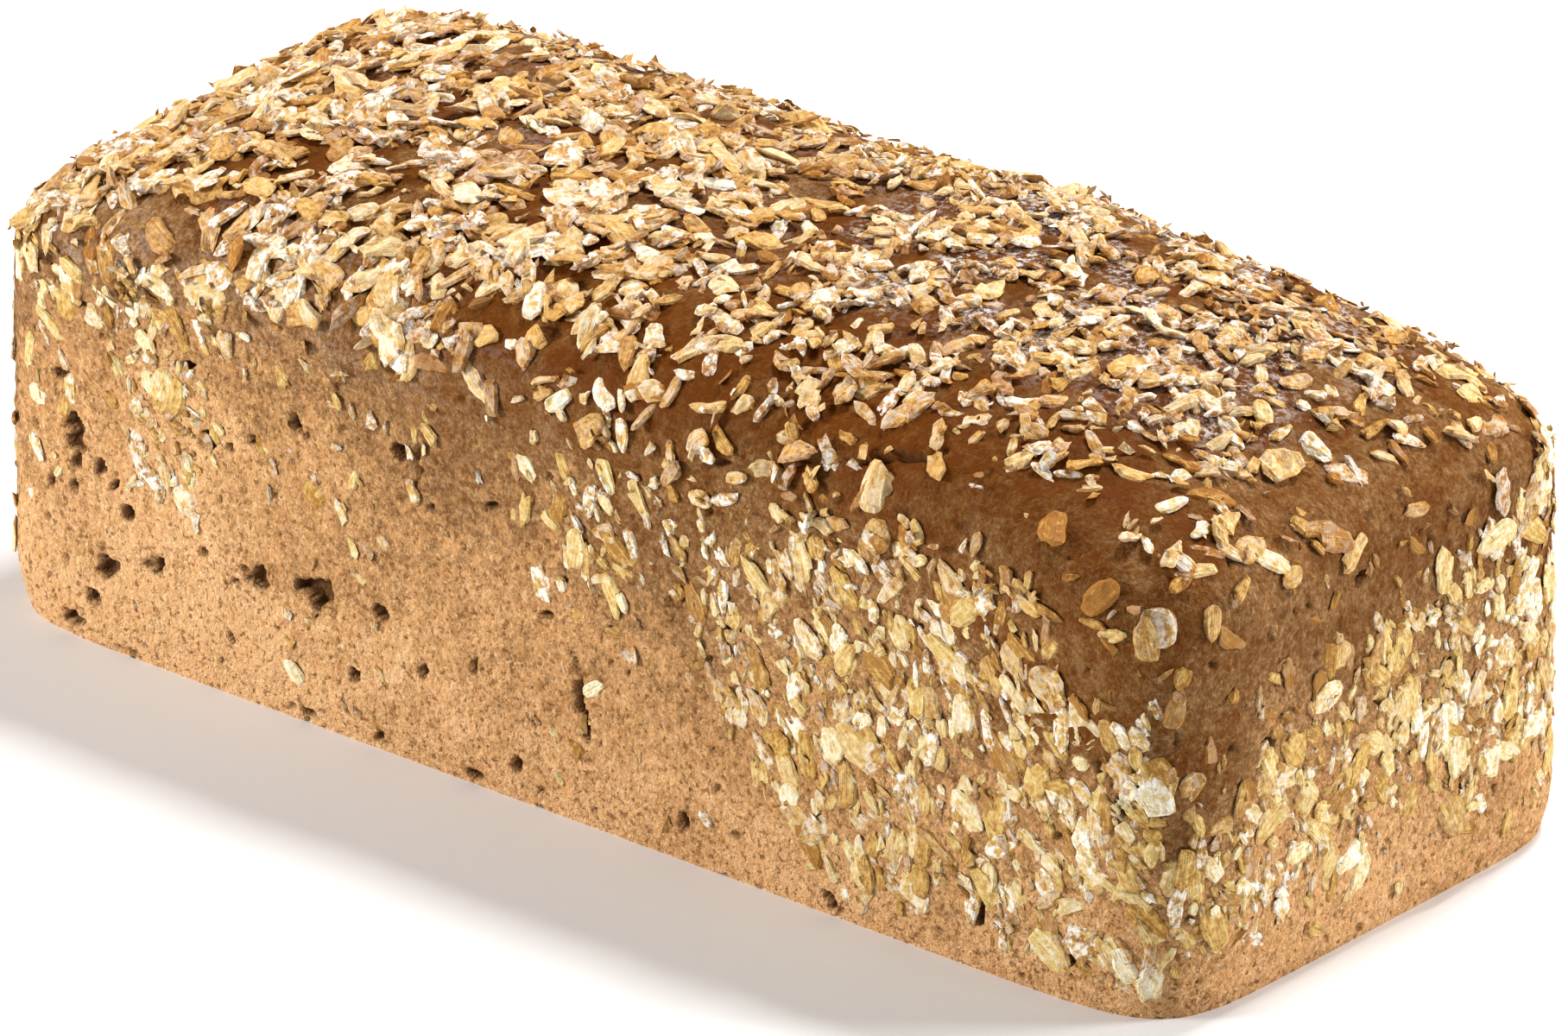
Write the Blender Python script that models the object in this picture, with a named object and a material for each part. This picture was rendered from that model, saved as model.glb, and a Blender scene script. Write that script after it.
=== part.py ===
"""Four-grain tin loaf: a wholegrain bread baked in a tin, domed above it and rolled in cereal flakes.

Metres, +Z up. The origin is the middle of the flat base, and +X runs along the loaf.
The loaf is one solid: a skin lofted over stadium-shaped rings, with its larger holes cut
and its larger flakes joined to it.
"""

import math

import bmesh
import bpy
import numpy as np
from mathutils import Matrix, Vector

# The loaf's size
LENGTH = 0.260
WIDTH = 0.1084
HEIGHT = 0.0925
SHOULDER = 0.0668

# The form of the walls: how much the base edge is drawn in, and how the walls lean in with height
FOOT_INSET = 0.0016
FOOT_HEIGHT = 0.012
WALL_DRAFT = -0.0075
CORNER_POWER = 7.8

# The form of the dome, which ends in a ridge that is shorter than the loaf
END_CAP = 0.0686
SIDE_POWER = 2.58
END_POWER = 2.15
CROWN_TILT = 0.076
CROWN_FALL = -0.205
RIDGE_LEAN = -0.0042

# Bulges of the dome, in millimetres: place along and across the loaf, reach and height
BULGES = (
    (-104, 26, 17, 3.2),
    (37, 34, 16, 2.7),
)

# How finely the skin is faceted, and how closely the facets crowd at the corners and above the base
STRAIGHT_STEPS = 12
CAP_STEPS = 26
BASE_STEPS = 3
WALL_STEPS = 7
DOME_STEPS = 11
CORNER_CROWD = 0.6
BASE_CROWD = 1.6

# The flakes, of which only the largest are solid: sizes, tip on the walls and on the dome in degrees,
# slant on the walls in degrees from level, the part of the skin they may lie on, and how they are spread
FLAKE_COUNT = 240
FLAKE_LENGTH = (0.0062, 0.0096)
FLAKE_SLENDER = (0.46, 0.66)
FLAKE_THICK = 0.0019
FLAKE_LIFT = (0.02, 0.20)
FLAKE_TIP = (4, 11)
FLAKE_SLANT = 103
FLAKE_SLANT_SPREAD = 35
FLAKE_SIDES = 6
FLAKE_ZONE = (0.05, 1.992)
FLAKE_SPACING = 0.0088
FLAKE_TRIES = 60000
FLAKE_SEED = 41

# Holes in a long wall: distance along the loaf, height, width, tallness, all in millimetres
WALL_HOLES = (
    (-107, 38, 4, 8),
    (-95, 27, 4, 4),
    (-100, 16, 5, 5),
    (-88, 20, 4, 4),
    (-67, 24, 7, 4),
    (-52, 25, 8, 7),
    (-38, 26, 4, 3),
    (-56, 54, 4, 5),
    (-33, 56, 4, 4),
    (5, 23, 3, 13),
    (27, 8, 3, 4),
    (90, 10, 3, 5),
)
HOLE_DEPTH = 0.0024
HOLE_MARGIN = 0.008
EDGE_MARGIN = 0.006

HALF_LENGTH = LENGTH / 2
HALF_WIDTH = WIDTH / 2
STRAIGHT_HALF = HALF_LENGTH - END_CAP


def level(up):
    """The ring at a height along the skin: its cap, half width, corner power and how far up the dome it is.

    up runs from -1 in the middle of the base, to 0 at its edge, 1 at the shoulder and 2 at the ridge.
    """
    wall = np.clip(up, 0, 1)
    foot = FOOT_INSET * np.clip(1 - wall * SHOULDER / FOOT_HEIGHT, 0, 1) ** 2
    inset = foot - WALL_DRAFT * wall * SHOULDER
    base = np.clip(1 + up, 0, 1)
    rise = np.sin(np.clip(up - 1, 0, 1) * math.pi / 2) ** (2 / 2.4)
    end_share = np.clip(1 - rise**END_POWER, 0, 1) ** (1 / END_POWER)
    side_share = np.clip(1 - rise**SIDE_POWER, 0, 1) ** (1 / SIDE_POWER)
    power = 2 + (CORNER_POWER - 2) * (1 - rise)
    return (END_CAP - inset) * base * end_share, (HALF_WIDTH - inset) * base * side_share, power, rise


def skin(around, up):
    """Points of the smooth skin.

    around runs from 0 to 4: the front wall's straight, the right cap, then the same two turned half round.
    Each ring is a straight of fixed length, closed by caps that are halves of a superellipse.
    """
    around, up = np.broadcast_arrays(np.asarray(around, float), np.asarray(up, float))
    cap, half, power, rise = level(up)
    leg = np.floor(around) % 4
    part = around - np.floor(around)
    turned = np.where(leg < 2, 1.0, -1.0)
    straight = leg % 2 == 0
    angle = (part - 0.5) * math.pi
    angle = angle + CORNER_CROWD * np.sin(4 * angle) / 4
    across, out = np.abs(np.sin(angle)), np.abs(np.cos(angle))
    reach = (across**power + out**power) ** (-1 / power)
    x = np.where(straight, STRAIGHT_HALF * (2 * part - 1), STRAIGHT_HALF + cap * np.cos(angle) * reach)
    y = np.where(straight, -half, half * np.sin(angle) * reach)
    x, y = x * turned, y * turned
    along = x / HALF_LENGTH
    crown = (HEIGHT - SHOULDER) * (1 + CROWN_TILT * along + CROWN_FALL * along**2)
    z = SHOULDER * np.clip(up, 0, 1) + rise * crown
    return np.stack([x, y + RIDGE_LEAN * rise, z], axis=-1)


def slopes_crossed(around, up):
    """The cross product of the skin's two slopes: it points outward, as long as the skin's share there."""
    step = 1e-3
    up = np.clip(up, -1 + step, 2 - step)
    slope_around = skin(around + step, up) - skin(around - step, up)
    slope_up = skin(around, up + step) - skin(around, up - step)
    return np.cross(slope_around, slope_up)


def unit(vectors):
    return vectors / np.maximum(np.linalg.norm(vectors, axis=-1, keepdims=True), 1e-12)


def swell(points):
    """How far the baked skin stands out from the smooth one: long soft waves, and the dome's bulges."""
    x, y, z = points[..., 0], points[..., 1], points[..., 2]
    waves = (
        0.00030 * np.sin(61 * x + 37 * z + 0.6) * np.cos(48 * y - 0.4)
        + 0.00020 * np.sin(118 * x - 74 * y + 2.1)
        + 0.00015 * np.cos(97 * y + 131 * x + 83 * z)
    )
    bulges = 0
    for bulge_x, bulge_y, reach, height in BULGES:
        away = ((1000 * x - bulge_x) ** 2 + (1000 * y - bulge_y) ** 2) / reach**2
        bulges = bulges + height / 1000 * np.exp(-away)
    on_dome = np.clip((z - 0.8 * SHOULDER) / (0.3 * SHOULDER), 0, 1)
    off_base = np.clip(z / FOOT_HEIGHT, 0, 1)
    return waves * off_base * (0.9 + 0.3 * on_dome) + bulges * on_dome


def crust(around, up):
    """Points of the baked skin: the smooth skin pushed along its normal by the swell."""
    smooth = skin(around, up)
    return smooth + unit(slopes_crossed(around, up)) * swell(smooth)[..., None]


def fade(value, low, high):
    """0 below low, 1 above high, and a smooth ramp between."""
    share = np.clip((value - low) / (high - low), 0, 1)
    return share * share * (3 - 2 * share)


def flake_cover(points):
    """The share of the crust that flakes cover.

    A long wall has a ragged band towards its right, two clusters, and what hangs over its upper left edge.
    An end has a slanting band. The dome is covered but for its right front, its right end and one shoulder.
    A wall's own coordinates run from its left to its right, so both long walls and both ends look alike.
    """
    x, y, z = np.moveaxis(1000 * points, -1, 0)
    right = -x * np.sign(y)
    band_start = 25 + 0.0118 * np.clip(60 - z, 0, 60) ** 2
    band = fade(right, band_start - 4, band_start + 8) * fade(z, 1, 9)
    band = band * (1 - 0.45 * fade(z, 56, 66)) * (1 - 0.7 * fade(right, 86, 100) * fade(z, 44, 56))
    clusters = np.exp(-(((right + 86) / 8) ** 2) - ((z - 47) / 13) ** 2)
    clusters += 0.8 * np.exp(-(((right - 9) / 9) ** 2) - ((z - 53) / 9) ** 2)
    upper_edge = fade(z, 57, 67) * (0.3 + 0.5 * (1 - fade(right, -72, -54)))
    long_wall = np.maximum(np.maximum(0.8 * band, 0.85 * clusters), upper_edge)
    right_on_end = y * np.sign(x)
    off_band = np.abs(z - 36 - 0.22 * right_on_end) - 18 - 0.12 * right_on_end
    end_wall = 0.85 * (1 - fade(off_band, -5, 6)) + 0.10
    on_long_wall = np.abs(y) / (1000 * HALF_WIDTH) >= (np.abs(x) / 1000 - STRAIGHT_HALF) / END_CAP
    wall = np.where(on_long_wall, long_wall, end_wall)
    dome = fade(z, 70, 83)
    thin_front = 0.55 * fade(right, -10, 35) * fade(np.abs(y), 8, 24)
    thin_end = 0.6 * fade(x, 104, 120)
    bare_shoulder = 0.8 * np.exp(-(((x + 78) / 15) ** 2) - ((y + 51) / 7) ** 2)
    return np.maximum(wall * (1 - dome), dome * (1 - thin_front) * (1 - thin_end) * (1 - bare_shoulder))


def mesh_object(name, bm, collection, material=None):
    """A named object from a bmesh."""
    mesh = bpy.data.meshes.new(name)
    bm.to_mesh(mesh)
    bm.free()
    if material:
        mesh.materials.append(material)
    piece = bpy.data.objects.new(name, mesh)
    collection.objects.link(piece)
    return piece


def surface_material(name, colour, roughness):
    material = bpy.data.materials.new(name)
    material.use_nodes = True
    shader = material.node_tree.nodes["Principled BSDF"]
    shader.inputs["Base Color"].default_value = (*colour, 1)
    shader.inputs["Roughness"].default_value = roughness
    shader.inputs["Metallic"].default_value = 0
    return material


def loaf_body(collection, material):
    """The loaf's skin, lofted ring by ring from the middle of the base to the ridge, where its sides meet."""
    around = np.concatenate(
        [
            leg + np.arange(steps) / steps
            for leg, steps in enumerate((STRAIGHT_STEPS, CAP_STEPS) * 2)
        ]
    )
    up = np.concatenate(
        [
            np.linspace(-1, 0, BASE_STEPS, endpoint=False),
            np.linspace(0, 1, WALL_STEPS, endpoint=False) ** BASE_CROWD,
            1 + np.linspace(0, 1, DOME_STEPS + 1),
        ]
    )
    points = crust(around[None, :], up[:, None])
    bm = bmesh.new()
    rings = [[bm.verts.new(point) for point in ring] for ring in points]
    for lower, upper in zip(rings, rings[1:]):
        for i in range(len(around)):
            j = (i + 1) % len(around)
            bm.faces.new((lower[i], lower[j], upper[j], upper[i]))
    bmesh.ops.remove_doubles(bm, verts=bm.verts, dist=1e-5)
    bmesh.ops.recalc_face_normals(bm, faces=bm.faces)
    return mesh_object("loaf", bm, collection, material)


def hole_cutters(collection):
    """Flattened balls on both long walls, where the crumb tore from the tin."""
    for side in (-1, 1):
        for number, (right, height, width, tall) in enumerate(WALL_HOLES):
            bm = bmesh.new()
            size = Matrix.Diagonal((width / 2000, HOLE_DEPTH, tall / 2000, 1))
            bmesh.ops.create_icosphere(bm, subdivisions=1, radius=1, matrix=size)
            cutter = mesh_object(f"hole_{'front' if side < 0 else 'back'}_{number}", bm, collection)
            cutter.location = (-side * right / 1000, side * (HALF_WIDTH - 0.0004), height / 1000)
            cutter.display_type = "WIRE"
            cutter.hide_render = True


def open_crust(points):
    """True where a flake hangs over neither the base edge nor a hole."""
    x, y, z = np.moveaxis(points, -1, 0)
    clear = z > EDGE_MARGIN
    right = -x * np.sign(y)
    for hole_right, hole_height, _, tall in WALL_HOLES:
        away = np.hypot(right - hole_right / 1000, z - hole_height / 1000)
        clear &= (np.abs(y) < 0.8 * HALF_WIDTH) | (away > HOLE_MARGIN + tall / 4000)
    return clear


def flake_places():
    """Where the flakes lie, as both parameters of the skin.

    A seeded draw keeps a point by its cover and by the skin's share there, if no kept one lies near it.
    """
    draw = np.random.default_rng(FLAKE_SEED)
    around = draw.uniform(0, 4, FLAKE_TRIES)
    up = draw.uniform(*FLAKE_ZONE, FLAKE_TRIES)
    points = crust(around, up)
    share = np.linalg.norm(slopes_crossed(around, up), axis=-1)
    chance = flake_cover(points) * open_crust(points) * share / share.max()
    kept = []
    for place in np.flatnonzero(draw.random(FLAKE_TRIES) < chance):
        if np.all(np.linalg.norm(points[kept] - points[place], axis=-1) > FLAKE_SPACING):
            kept.append(place)
        if len(kept) == FLAKE_COUNT:
            break
    return around[kept], up[kept]


def flakes(collection, material):
    """Pressed flakes, largest first: low six-sided plates, half sunk in the crust and a little tipped.

    A flake's own X lies along the skin, turned by its spin, and its Z along the skin's normal.
    """
    around, up = flake_places()
    points = crust(around, up)
    out = unit(slopes_crossed(around, up))
    along = unit(np.cross((0, 0, 1), out))
    draw = np.random.default_rng(FLAKE_SEED + 1)
    lengths = np.sort(draw.uniform(*FLAKE_LENGTH, len(points)))[::-1]
    widths = lengths * draw.uniform(*FLAKE_SLENDER, len(points))
    slants = np.radians(draw.normal(FLAKE_SLANT, FLAKE_SLANT_SPREAD, len(points)))
    spins = np.where(up < 1, slants, draw.uniform(0, 2 * math.pi, len(points)))
    wall_tip, dome_tip = np.radians(FLAKE_TIP)
    tips = draw.normal(0, 1, len(points)) * np.where(up < 1, wall_tip, dome_tip)
    lifts = draw.uniform(*FLAKE_LIFT, len(points)) * FLAKE_THICK
    for number, point in enumerate(points):
        bm = bmesh.new()
        bmesh.ops.create_cone(
            bm,
            cap_ends=True,
            segments=FLAKE_SIDES,
            radius1=0.5,
            radius2=0.33,
            depth=1,
            matrix=Matrix.Diagonal((lengths[number], widths[number], FLAKE_THICK, 1)),
        )
        flake = mesh_object(f"flake_{number}", bm, collection, material)
        axes = (along[number], np.cross(out[number], along[number]), out[number])
        stand = Matrix(np.transpose(axes).tolist()).to_4x4()
        spin = Matrix.Rotation(spins[number], 4, "Z")
        tip = Matrix.Rotation(tips[number], 4, "Y")
        lift = Matrix.Translation((0, 0, lifts[number]))
        flake.matrix_world = Matrix.Translation(Vector(point)) @ stand @ spin @ tip @ lift


def new_collection(name):
    collection = bpy.data.collections.new(name)
    bpy.context.scene.collection.children.link(collection)
    return collection


def join(body, collection, operation):
    """Cuts or joins a whole collection with one Boolean, applies it, and removes the collection's objects."""
    boolean = body.modifiers.new(operation.lower(), "BOOLEAN")
    boolean.operation = operation
    boolean.operand_type = "COLLECTION"
    boolean.collection = collection
    boolean.solver = "EXACT"
    bpy.context.view_layer.update()
    evaluated = body.evaluated_get(bpy.context.evaluated_depsgraph_get())
    joined = bpy.data.meshes.new_from_object(evaluated)
    body.modifiers.clear()
    body.data = joined
    for piece in list(collection.objects):
        bpy.data.objects.remove(piece)
    bpy.data.collections.remove(collection)


def drop_scraps(body):
    """Keeps the loaf's outer skin only: a scrap that the joining left loose isn't part of the bread."""
    bm = bmesh.new()
    bm.from_mesh(body.data)
    unseen, islands = set(bm.verts), []
    while unseen:
        island, edge_of_it = set(), [next(iter(unseen))]
        while edge_of_it:
            vertex = edge_of_it.pop()
            if vertex not in island:
                island.add(vertex)
                edge_of_it.extend(edge.other_vert(vertex) for edge in vertex.link_edges)
        unseen -= island
        islands.append(island)
    islands.sort(key=len)
    loose = [vertex for island in islands[:-1] for vertex in island]
    bmesh.ops.delete(bm, geom=loose, context="VERTS")
    bm.to_mesh(body.data)
    bm.free()


for startup_object in list(bpy.data.objects):
    bpy.data.objects.remove(startup_object)

bread = new_collection("four_grain_loaf")
crust_brown = surface_material("crust_brown", (0.36, 0.17, 0.065), 0.72)
flake_straw = surface_material("flake_straw", (0.72, 0.52, 0.25), 0.8)

loaf = loaf_body(bread, crust_brown)
holes = new_collection("holes")
hole_cutters(holes)
join(loaf, holes, "DIFFERENCE")
scattered = new_collection("flakes")
flakes(scattered, flake_straw)
join(loaf, scattered, "UNION")
drop_scraps(loaf)
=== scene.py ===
import math

import bpy
import numpy as np
from mathutils import Matrix, Vector


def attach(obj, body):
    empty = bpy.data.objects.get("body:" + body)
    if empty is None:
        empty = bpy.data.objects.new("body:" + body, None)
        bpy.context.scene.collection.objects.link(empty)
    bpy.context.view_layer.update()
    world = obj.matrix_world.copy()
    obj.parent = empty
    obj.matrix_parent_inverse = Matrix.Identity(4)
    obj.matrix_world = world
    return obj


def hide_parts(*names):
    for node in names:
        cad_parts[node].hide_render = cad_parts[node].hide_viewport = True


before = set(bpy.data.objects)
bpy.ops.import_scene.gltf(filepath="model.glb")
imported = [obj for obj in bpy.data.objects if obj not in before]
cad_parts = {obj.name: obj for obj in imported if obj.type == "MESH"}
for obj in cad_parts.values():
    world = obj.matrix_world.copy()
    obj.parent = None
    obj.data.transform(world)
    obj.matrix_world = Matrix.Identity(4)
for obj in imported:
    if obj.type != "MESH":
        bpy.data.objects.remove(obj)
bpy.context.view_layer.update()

# The view of the loaf: a long lens far off its front right corner, looking down on it.
# Directions are in the loaf's own frame, with X along it and Z up.
CAMERA_PLACE = (1.9769, -2.2368, 1.4144)
CAMERA_LOOK = (-0.60062, 0.68064, -0.41951)
CAMERA_RIGHT = (0.75378, 0.65699, -0.01339)
CAMERA_LENS = 460.1
CAMERA_SHIFT = (-0.0020, 0.0)


def placed(name, data):
    """A new object with that mesh, lamp or camera, in the scene and at its origin."""
    made = bpy.data.objects.new(name, data)
    bpy.context.scene.collection.objects.link(made)
    return made


look = Vector(CAMERA_LOOK).normalized()
right_hand = Vector(CAMERA_RIGHT)
right_hand = (right_hand - look * right_hand.dot(look)).normalized()
camera_data = bpy.data.cameras.new("camera")
camera_data.lens = CAMERA_LENS
camera_data.sensor_width = 36
camera_data.shift_x, camera_data.shift_y = CAMERA_SHIFT
camera = placed("camera", camera_data)
turn = Matrix((right_hand, right_hand.cross(look), -look)).transposed().to_4x4()
camera.matrix_world = Matrix.Translation(CAMERA_PLACE) @ turn
bpy.context.scene.camera = camera


# The dough's form. The tin gives the loaf its flat base, upright walls and rounded corners,
# and above the tin's rim the dough springs up into a long dome. Everything else lies on this skin.
LENGTH = 0.260
WIDTH = 0.1084
HEIGHT = 0.0925
SHOULDER = 0.0668
FOOT_INSET = 0.0016
FOOT_HEIGHT = 0.012
WALL_DRAFT = -0.0075
CORNER_POWER = 7.8
CORNER_CROWD = 0.6
END_CAP = 0.0686
SIDE_POWER = 2.58
END_POWER = 2.15
RISE_POWER = 2.4
CROWN_TILT = 0.076
CROWN_FALL = -0.205
RIDGE_LEAN = -0.0042
# Each bulge: along X, along Y, reach and height, in millimetres
BULGES = (
    (-104, 26, 17, 3.2),
    (37, 34, 16, 2.7),
)
HALF_LENGTH = LENGTH / 2
HALF_WIDTH = WIDTH / 2
STRAIGHT_HALF = HALF_LENGTH - END_CAP


def level(up):
    """The ring at a height along the skin: its cap, half width, corner power and how far up the dome it is.

    up runs from -1 in the middle of the base, to 0 at its edge, 1 at the shoulder and 2 at the ridge.
    The wall leans in evenly, and its foot curves in by a square. Over the dome, the ring's ends and sides
    draw in as superellipses of the rise, and its corners soften to an ellipse's.
    """
    wall = np.clip(up, 0, 1)
    foot = FOOT_INSET * np.clip(1 - wall * SHOULDER / FOOT_HEIGHT, 0, 1) ** 2
    inset = foot - WALL_DRAFT * wall * SHOULDER
    base = np.clip(1 + up, 0, 1)
    rise = np.sin(np.clip(up - 1, 0, 1) * math.pi / 2) ** (2 / RISE_POWER)
    end_share = np.clip(1 - rise**END_POWER, 0, 1) ** (1 / END_POWER)
    side_share = np.clip(1 - rise**SIDE_POWER, 0, 1) ** (1 / SIDE_POWER)
    power = 2 + (CORNER_POWER - 2) * (1 - rise)
    return (END_CAP - inset) * base * end_share, (HALF_WIDTH - inset) * base * side_share, power, rise


def skin(around, up):
    """Points of the smooth skin: a profile carried round rings of two straights and two superellipse caps.

    around runs from 0 to 4: the front wall's straight, the right cap, then the same two turned half round.
    The height is the wall's, and over the shoulder the dome's rise times a tilted parabola along the loaf.
    """
    around, up = np.broadcast_arrays(np.asarray(around, float), np.asarray(up, float))
    cap, half, power, rise = level(up)
    leg = np.floor(around) % 4
    part = around - np.floor(around)
    turned = np.where(leg < 2, 1.0, -1.0)
    straight = leg % 2 == 0
    angle = (part - 0.5) * math.pi
    angle = angle + CORNER_CROWD * np.sin(4 * angle) / 4
    across, out = np.abs(np.sin(angle)), np.abs(np.cos(angle))
    reach = (across**power + out**power) ** (-1 / power)
    x = np.where(straight, STRAIGHT_HALF * (2 * part - 1), STRAIGHT_HALF + cap * np.cos(angle) * reach)
    y = np.where(straight, -half, half * np.sin(angle) * reach)
    x, y = x * turned, y * turned
    along = x / HALF_LENGTH
    crown = (HEIGHT - SHOULDER) * (1 + CROWN_TILT * along + CROWN_FALL * along**2)
    z = SHOULDER * np.clip(up, 0, 1) + rise * crown
    return np.stack([x, y + RIDGE_LEAN * rise, z], axis=-1)


def slopes_crossed(around, up):
    """The cross product of the skin's two slopes: it points outward, as long as the skin's share there."""
    step = 1e-3
    up = np.clip(up, -1 + step, 2 - step)
    slope_around = skin(around + step, up) - skin(around - step, up)
    slope_up = skin(around, up + step) - skin(around, up - step)
    return np.cross(slope_around, slope_up)


def unit(vectors):
    """The same vectors, each of length 1."""
    return vectors / np.maximum(np.linalg.norm(vectors, axis=-1, keepdims=True), 1e-12)


def swell(points):
    """How far the baked skin stands out from the smooth one: long soft waves, and the dome's bulges.

    The waves are sums and products of sines that fade out at the foot, and each bulge is a bell on the dome.
    """
    x, y, z = np.moveaxis(points, -1, 0)
    waves = (
        0.00030 * np.sin(61 * x + 37 * z + 0.6) * np.cos(48 * y - 0.4)
        + 0.00020 * np.sin(118 * x - 74 * y + 2.1)
        + 0.00015 * np.cos(97 * y + 131 * x + 83 * z)
    )
    bulges = 0
    for bulge_x, bulge_y, reach, height in BULGES:
        away = ((1000 * x - bulge_x) ** 2 + (1000 * y - bulge_y) ** 2) / reach**2
        bulges = bulges + height / 1000 * np.exp(-away)
    on_dome = np.clip((z - 0.8 * SHOULDER) / (0.3 * SHOULDER), 0, 1)
    off_base = np.clip(z / FOOT_HEIGHT, 0, 1)
    return waves * off_base * (0.9 + 0.3 * on_dome) + bulges * on_dome


def dough(around, up):
    """Points and outward normals of the baked skin: the smooth skin pushed along its normal by the swell."""
    smooth = skin(around, up)
    out = unit(slopes_crossed(around, up))
    return smooth + out * swell(smooth)[..., None], out


# The crust. Against the tin it is matt, tan and pitted where gas bubbles opened, and it browns towards
# the shoulder; its corners are browner and also painted with shade. Above the rim it is a dark reddish
# brown skin that laps over the walls.
# It is modelled as four tin-baked walls, the crown and the base, which meet edge to edge.
GRID_STEP = 0.00046
CROWN_STEP = 0.00074
BASE_STEP = 0.0016
# Each torn hole on a long wall: how far right and up, its width and height, all in millimetres, and its tilt
WALL_HOLES = (
    (-107, 38, 4, 8, 0.1),
    (-95, 27, 5, 4, 0.6),
    (-100, 16, 5, 5, 0.0),
    (-88, 20, 4, 4, 0.7),
    (-67, 24, 8, 4, 0.3),
    (-52, 25, 9, 7, 0.2),
    (-38, 26, 4, 3, 0.2),
    (-56, 54, 3, 5, 0.6),
    (-33, 56, 4, 4, 0.4),
    (5, 23, 3, 13, 0.2),
    (27, 8, 3, 4, -0.2),
    (90, 10, 3, 5, -0.3),
    (-108, 3, 6, 4, 0.0),
    (-29, 18, 3, 3, 0.4),
    (58, 3, 3, 4, 0.0),
    (-109, 48, 5, 2.5, 0.2),
    (-9, 7, 2.5, 4, 0.0),
    (-56, 2, 7, 3, 0.0),
    (-40, 2, 3, 3, 0.0),
    (-19, 2, 4, 2.5, 0.0),
    (119, 39, 4, 5, 0.0),
    (-66, 49, 3, 2.5, 0.3),
    (-103, 9, 4, 3, -0.6),
    (-98, 31, 5, 1.6, 0.9),
    (-80, 58, 3, 2, 0.2),
    (-71, 46, 2, 3, 0.0),
    (-14, 52, 4, 1.8, 0.3),
    (-27, 48, 4, 1.6, 0.3),
    (12, 38, 3, 2, 0.5),
    (-2, 36, 3, 1.6, 0.4),
    (-44, 13, 2.5, 2, 0.0),
    (34, 23, 2.5, 2, 0.2),
    (-72, 11, 2, 2.5, 0.0),
)
# Each crack on a long wall, as the points that it runs through, right and up
WALL_CRACKS = (
    ((-63, 46), (-62, 43), (-60, 37)),
    ((-20, 30), (-17, 26), (-18, 21)),
    ((3, 31), (5, 27), (4, 21), (8, 16)),
    ((-113, 62), (-103, 62), (-97, 60)),
    ((34, 74), (50, 78), (77, 85)),
    ((-30, 58), (-29, 53), (-32, 49)),
    ((-14, 20), (-11, 17)),
)
# Layers of noise, each with its height or strength, its lattice's size in millimetres and its seed
LUMPS = ((0.20, 8, 1), (0.14, 3.1, 2), (0.13, 1.6, 3), (0.12, 1.0, 14))
WRINKLES = ((0.36, 11, 4), (0.28, 4.2, 5), (0.18, 1.9, 6))
RAGGED = ((0.40, 2.1, 7), (0.34, 1.15, 8))
LAP_EDGE = ((3.0, 12, 21), (1.2, 4, 22))
WALL_BAKE = ((0.10, 26, 23), (0.11, 7, 28))
CROWN_BAKE = ((0.12, 17, 27), (0.16, 5, 29))
# Opened bubbles: the lattice's size in millimetres, the share of its cells that hold one, and the seed
DIMPLES = (1.7, 0.35, 50)
PITS = ((2.1, 0.045, 30), (4.3, 0.016, 40))


def scramble(cells, seed):
    """One steady random number from 0 to 1 for each triple of whole numbers.

    The numbers are multiplied by large primes, and the bits are folded over each other twice.
    """
    whole = cells.astype(np.int64).astype(np.uint64)
    mixed = whole[..., 0] * np.uint64(73856093) ^ whole[..., 1] * np.uint64(19349663)
    mixed = mixed ^ whole[..., 2] * np.uint64(83492791) ^ np.uint64(seed * 2654435761)
    mixed = (mixed ^ (mixed >> np.uint64(31))) * np.uint64(0xBF58476D1CE4E5B9)
    mixed = (mixed ^ (mixed >> np.uint64(29))) * np.uint64(0x94D049BB133111EB)
    return (mixed >> np.uint64(11)).astype(float) / 2**53


def noise(places, size, seed):
    """Smooth noise from -1 to 1: random numbers on a lattice of that size, blended between its corners."""
    at = places / size
    cell = np.floor(at)
    part = at - cell
    part = part * part * (3 - 2 * part)
    total = np.zeros(at.shape[:-1])
    for corner in np.ndindex(2, 2, 2):
        weight = np.prod(np.where(np.array(corner) == 1, part, 1 - part), axis=-1)
        total += weight * scramble(cell + corner, seed)
    return 2 * total - 1


def layered(places, layers):
    """Several layers of noise added up."""
    return sum(height * noise(places, size, seed) for height, size, seed in layers)


def bubbles(places, size, chance, seed):
    """How deep opened gas bubbles go: some cells hold a ball, and a point in a ball is half a chord deep."""
    at = places / size
    first = np.floor(at - 0.5)
    depth = np.zeros(at.shape[:-1])
    for corner in np.ndindex(2, 2, 2):
        cell = first + corner
        centre = cell + np.stack([scramble(cell, seed + axis) for axis in (1, 2, 3)], axis=-1)
        radius = (0.18 + 0.32 * scramble(cell, seed + 4)) * (scramble(cell, seed + 5) < chance)
        away = np.sum((at - centre) ** 2, axis=-1)
        depth = np.maximum(depth, np.sqrt(np.clip(radius**2 - away, 0, None)))
    return depth * size


def fade(value, low, high):
    """0 below low, 1 above high, and a smooth ramp between."""
    share = np.clip((value - low) / (high - low), 0, 1)
    return share * share * (3 - 2 * share)


def wall_places(places):
    """A wall's own coordinates in millimetres, left to right and up, and how much of a long wall a place is.

    One long wall is the other turned half round, and so are the ends. The share changes across a corner.
    """
    x, y, z = np.moveaxis(places, -1, 0)
    past_corner = np.abs(y) / (1000 * HALF_WIDTH) - (np.abs(x) / 1000 - STRAIGHT_HALF) / END_CAP
    long_share = fade(past_corner, -0.07, 0.07)
    return np.where(past_corner >= 0, -x * np.sign(y), y * np.sign(x)), z, long_share


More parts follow.
